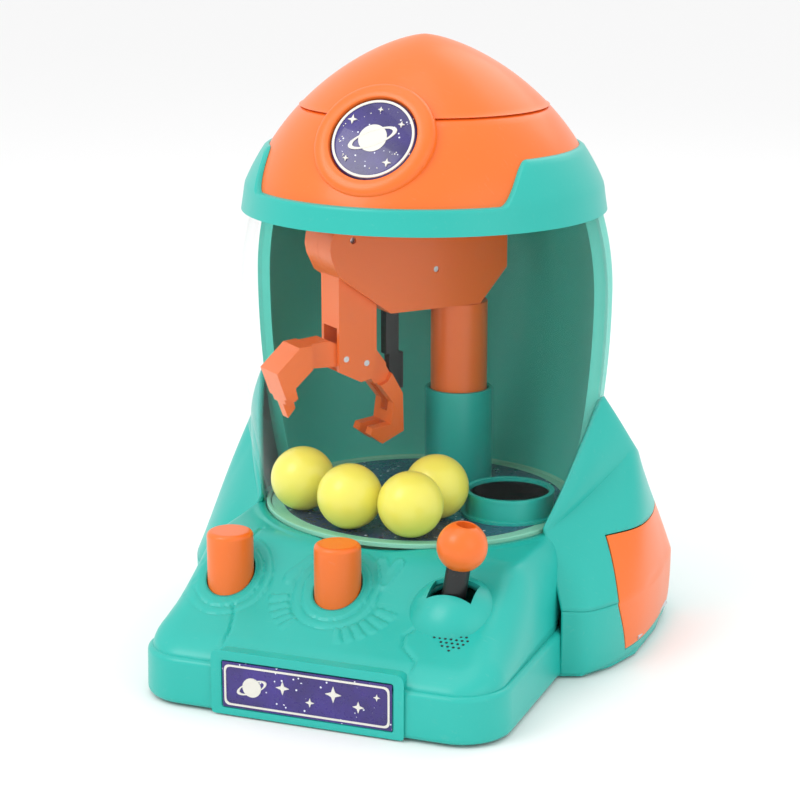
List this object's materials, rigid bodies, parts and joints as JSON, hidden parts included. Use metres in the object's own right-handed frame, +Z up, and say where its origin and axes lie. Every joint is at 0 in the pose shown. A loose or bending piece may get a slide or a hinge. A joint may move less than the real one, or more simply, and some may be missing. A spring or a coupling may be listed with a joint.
{
  "type": "toy claw crane machine",
  "caption": "Rocket-shaped toy claw crane: clear chamber on a sloping console, stick-swung arm, two buttons, loose balls, prize cup, chute and side door.",
  "frame": {"origin": "centre of the plan box, on the surface that the feet stand on", "axes": "+Z up, -Y towards the player, +X towards the prize door"},
  "size_m": [0.186, 0.1938, 0.2344],
  "materials": {
    "teal": "satin moulded turquoise",
    "orange": "satin moulded orange",
    "mint": "satin pale green",
    "clear": "clear moulded polystyrene",
    "white": "plain moulded",
    "black": "matt moulded",
    "yellow": "smooth hollow ball",
    "sticker": "printed film",
    "steel": "zinc plated",
    "rubber": "matt"
  },
  "bodies": {
    "base": {"base_plate": "teal", "base_feet": "rubber", "base_screws": "steel", "lower_housing": "teal", "console_shell": "teal", "name_plate": "sticker", "right_pod_cover": "teal", "left_pod_cover": "teal", "door_pin": "steel", "play_floor": "mint", "floor_sticker": "sticker", "prize_cup": "teal", "prize_chute": "teal", "column_sleeve": "teal", "gear_bracket": "white", "rear_shell": "teal", "window": "clear", "collar": "teal", "nose_cone": "orange", "nose_cap": "orange", "badge_ring": "orange", "badge_disc": "sticker", "joystick_boot": "teal", "joystick_bracket": "white", "joystick_pin": "steel", "lift_spring": "steel", "rocker_pins": "steel"},
    "door": {"prize_door": "orange"},
    "swing_hub": {"swing_pinion": "white"},
    "crane": {"column_tube": "orange", "arm_left_shell": "orange", "arm_right_shell": "orange", "arm_screws": "steel", "arm_pin": "steel", "claw_hanger": "orange", "finger_pins": "steel", "claw_spring": "steel"},
    "joystick": {"joystick_stem": "black", "joystick_knob": "orange", "joystick_screw": "steel"},
    "slider": {"swing_slider": "white"},
    "lift_key": {"lift_button": "orange"},
    "front_rocker": {"lift_rocker_front": "white"},
    "rear_rocker": {"lift_rocker_rear": "white"},
    "claw_key": {"claw_button": "orange"},
    "lever": {"claw_lever": "white"},
    "plunger": {"claw_plunger": "white"},
    "push_rod": {"push_rod": "white"},
    "arm_rocker": {"arm_rocker": "white"},
    "claw_rod": {"claw_rod": "black"},
    "outer_finger": {"outer_finger": "orange"},
    "inner_finger": {"inner_finger": "orange"},
    "ball_left": {"ball_left": "yellow"},
    "ball_middle": {"ball_middle": "yellow"},
    "ball_front": {"ball_front": "yellow"},
    "ball_back": {"ball_back": "yellow"}
  },
  "joints": [
    {"name": "crane_swing", "type": "hinge", "parent": "base", "child": "swing_hub", "pos_m": [0.0025, 0.0563, 0.042], "axis": [0, 0, 1], "range_deg": [0, 81]},
    {"name": "crane_lift", "type": "slide", "parent": "swing_hub", "child": "crane", "axis": [0, 0, -1], "range_m": [0, 0.00996], "stiffness_N_per_m": 120, "springref_m": -0.02, "deforming": ["lift_spring"]},
    {"name": "joystick_tilt", "type": "hinge", "parent": "base", "child": "joystick", "pos_m": [0.0407, -0.0581, 0.037], "axis": [0, -1, 0], "range_deg": [0, 18.39]},
    {"name": "slider_slide", "type": "slide", "parent": "base", "child": "slider", "axis": [1, 0, 0], "range_m": [0, 0.00906]},
    {"name": "lift_button_press", "type": "slide", "parent": "base", "child": "lift_key", "axis": [0, 0, -1], "range_m": [0, 0.00801]},
    {"name": "front_rocker_tilt", "type": "hinge", "parent": "base", "child": "front_rocker", "pos_m": [-0.047, -0.0356, 0.0166], "axis": [1, 0, 0], "range_deg": [0, 20.39]},
    {"name": "rear_rocker_tilt", "type": "hinge", "parent": "base", "child": "rear_rocker", "pos_m": [-0.04, 0.0254, 0.0249], "axis": [-1, 0, 0], "range_deg": [0, 18.48]},
    {"name": "claw_button_press", "type": "slide", "parent": "base", "child": "claw_key", "axis": [0, 0, -1], "range_m": [0, 0.008], "stiffness_N_per_m": 120, "springref_m": -0.01},
    {"name": "claw_lever_tilt", "type": "hinge", "parent": "base", "child": "lever", "pos_m": [-0.0037, 0.0034, 0.0094], "axis": [1, 0, 0], "range_deg": [0, 7.47]},
    {"name": "plunger_slide", "type": "slide", "parent": "base", "child": "plunger", "axis": [0, 0, 1], "range_m": [0, 0.00689]},
    {"name": "push_rod_slide", "type": "slide", "parent": "crane", "child": "push_rod", "axis": [0, 0, 1], "range_m": [0, 0.00621], "deforming": ["claw_spring"]},
    {"name": "arm_rocker_tilt", "type": "hinge", "parent": "crane", "child": "arm_rocker", "pos_m": [-0.00843, 0.04328, 0.1414], "axis": [0.766, -0.6428, 0], "range_deg": [0, 20.92]},
    {"name": "claw_rod_slide", "type": "slide", "parent": "crane", "child": "claw_rod", "axis": [0, 0, -1], "range_m": [0, 0.00548]},
    {"name": "inner_finger_close", "type": "hinge", "parent": "crane", "child": "inner_finger", "pos_m": [-0.02732, 0.02076, 0.106], "axis": [-0.766, 0.6428, 0], "range_deg": [0, 21.82]},
    {"name": "outer_finger_close", "type": "hinge", "parent": "crane", "child": "outer_finger", "pos_m": [-0.03311, 0.01386, 0.1085], "axis": [0.766, -0.6428, 0], "range_deg": [0, 21.82]},
    {"name": "door_open", "type": "hinge", "parent": "base", "child": "door", "pos_m": [0.09105, 0.0349, 0.0076], "axis": [0, 1, 0], "range_deg": [0, 80]},
    {"name": "ball_left_lift", "type": "slide", "parent": "base", "child": "ball_left", "axis": [0, 0, 1], "range_m": [0, 0.008]},
    {"name": "ball_middle_lift", "type": "slide", "parent": "base", "child": "ball_middle", "axis": [0, 0, 1], "range_m": [0, 0.008]},
    {"name": "ball_front_lift", "type": "slide", "parent": "base", "child": "ball_front", "axis": [0, 0, 1], "range_m": [0, 0.008]},
    {"name": "ball_back_lift", "type": "slide", "parent": "base", "child": "ball_back", "axis": [0, 0, 1], "range_m": [0, 0.008]}
  ],
  "couplings": [
    {"joint": "joystick_tilt", "follows": "crane_swing", "ratio": 0.22695},
    {"joint": "slider_slide", "follows": "crane_swing", "m_per_rad": 0.0064},
    {"joint": "lift_button_press", "follows": "crane_lift", "ratio": 0.80348},
    {"joint": "front_rocker_tilt", "follows": "crane_lift", "rad_per_m": 35.71},
    {"joint": "rear_rocker_tilt", "follows": "crane_lift", "rad_per_m": 32.362},
    {"joint": "claw_lever_tilt", "follows": "claw_button_press", "rad_per_m": 16.26},
    {"joint": "plunger_slide", "follows": "claw_button_press", "ratio": 0.86016},
    {"joint": "push_rod_slide", "follows": "claw_button_press", "ratio": 0.775},
    {"joint": "arm_rocker_tilt", "follows": "claw_button_press", "rad_per_m": 45.588},
    {"joint": "claw_rod_slide", "follows": "claw_button_press", "ratio": 0.68382},
    {"joint": "inner_finger_close", "follows": "claw_button_press", "rad_per_m": 47.56},
    {"joint": "outer_finger_close", "follows": "claw_button_press", "rad_per_m": 47.56}
  ]
}
